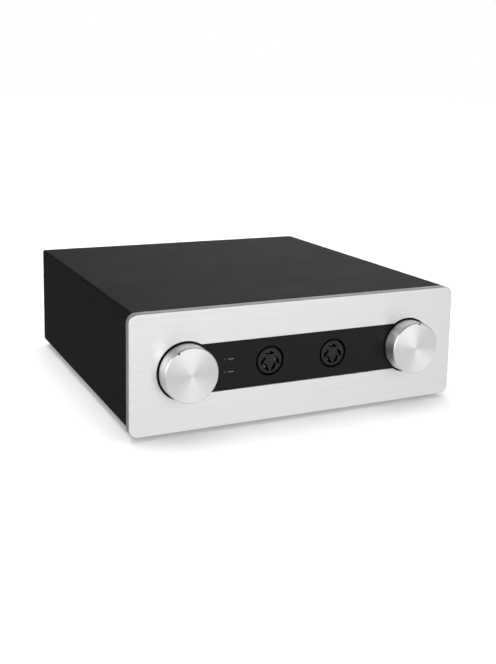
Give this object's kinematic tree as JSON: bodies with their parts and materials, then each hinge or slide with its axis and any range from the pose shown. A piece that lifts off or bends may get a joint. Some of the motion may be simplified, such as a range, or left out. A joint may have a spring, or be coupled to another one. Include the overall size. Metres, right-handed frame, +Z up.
{
  "type": "headphone amplifier",
  "caption": "Desktop headphone amplifier: thick brushed aluminium front with turned knobs at each end of a black band holding five-pole sockets, in a folded black case.",
  "frame": {"origin": "on the surface that the feet stand on, under the middle of the whole outline", "axes": "+X towards the right of someone facing the front panel, +Y towards the rear, +Z up"},
  "size_m": [0.256, 0.278, 0.0868],
  "materials": {
    "brushed_aluminium": "fine horizontal brushing, clear anodised",
    "spun_aluminium": "turned, bright",
    "black_acrylic": "satin black",
    "zinc_steel": "zinc plated",
    "bright_steel": "nickel plated",
    "black_steel": "black oxide",
    "black_plastic": "moulded",
    "green_laminate": "solder mask on glass laminate",
    "clear_plastic": "clear light pipe",
    "black_paint": "fine satin powder coat",
    "black_rubber": "moulded",
    "gold_plate": "gold plated",
    "winding_tape": "polyester tape over the winding",
    "capacitor_sleeve": "shrunk sleeve",
    "black_anodised": "black anodised",
    "lead_sleeve": "black sleeve"
  },
  "bodies": {
    "chassis": {"front_panel": "brushed_aluminium", "front_window": "black_acrylic", "sub_front": "zinc_steel", "selector_nut": "bright_steel", "volume_nut": "bright_steel", "selector_switch": "black_plastic", "volume_attenuator": "black_plastic", "headphone_socket_left": "black_plastic", "headphone_socket_right": "black_plastic", "socket_board": "green_laminate", "indicator_upper": "clear_plastic", "indicator_lower": "clear_plastic", "indicator_board": "green_laminate", "top_cover": "black_paint", "chassis_base": "zinc_steel", "foot_front_left": "black_rubber", "foot_front_right": "black_rubber", "foot_rear_left": "black_rubber", "foot_rear_right": "black_rubber", "foot_screw_front_left": "bright_steel", "foot_screw_front_right": "bright_steel", "foot_screw_rear_left": "bright_steel", "foot_screw_rear_right": "bright_steel", "cover_screw_front_left": "black_steel", "cover_screw_front_right": "black_steel", "cover_screw_rear_left": "black_steel", "cover_screw_rear_right": "black_steel", "rear_panel": "black_paint", "mains_inlet": "black_plastic", "power_switch_frame": "black_plastic", "balanced_input_left": "black_plastic", "balanced_input_right": "black_plastic", "line_input_left": "gold_plate", "line_input_right": "gold_plate", "line_output_left": "gold_plate", "line_output_right": "gold_plate", "transformer": "winding_tape", "transformer_washer": "zinc_steel", "transformer_bolt": "bright_steel", "power_board": "green_laminate", "reservoir_capacitor_1": "capacitor_sleeve", "reservoir_capacitor_2": "capacitor_sleeve", "reservoir_capacitor_3": "capacitor_sleeve", "reservoir_capacitor_4": "capacitor_sleeve", "amplifier_board": "green_laminate", "heatsink_left": "black_anodised", "heatsink_right": "black_anodised", "mains_lead": "lead_sleeve", "secondary_lead": "lead_sleeve", "supply_lead": "lead_sleeve"},
    "selector_control": {"selector_knob": "spun_aluminium", "selector_shaft": "bright_steel", "selector_grub_screw": "black_steel"},
    "volume_control": {"volume_knob": "spun_aluminium", "volume_shaft": "bright_steel", "volume_grub_screw": "black_steel"},
    "power_rocker": {"power_rocker": "black_plastic"},
    "fuse_drawer": {"fuse_drawer": "black_plastic"},
    "release_tab_left": {"release_tab_left": "bright_steel"},
    "release_tab_right": {"release_tab_right": "bright_steel"}
  },
  "joints": [
    {"name": "selector_turn", "type": "hinge", "parent": "chassis", "child": "selector_control", "pos_m": [-0.0885, -0.127, 0.0452], "axis": [0, 1, 0], "range_deg": [0, 60]},
    {"name": "volume_turn", "type": "hinge", "parent": "chassis", "child": "volume_control", "pos_m": [0.0885, -0.127, 0.0452], "axis": [0, 1, 0], "range_deg": [-158, 142]},
    {"name": "power_press", "type": "hinge", "parent": "chassis", "child": "power_rocker", "pos_m": [-0.038, 0.1275, 0.046], "axis": [1, 0, 0], "range_deg": [0, 18]},
    {"name": "fuse_drawer_slide", "type": "slide", "parent": "chassis", "child": "fuse_drawer", "axis": [0, 1, 0], "range_m": [0, 0.016]},
    {"name": "release_press_left", "type": "slide", "parent": "chassis", "child": "release_tab_left", "axis": [0, -1, 0], "range_m": [0, 0.0025], "stiffness_N_per_m": 400, "springref_m": -0.002},
    {"name": "release_press_right", "type": "slide", "parent": "chassis", "child": "release_tab_right", "axis": [0, -1, 0], "range_m": [0, 0.0025], "stiffness_N_per_m": 400, "springref_m": -0.002}
  ]
}
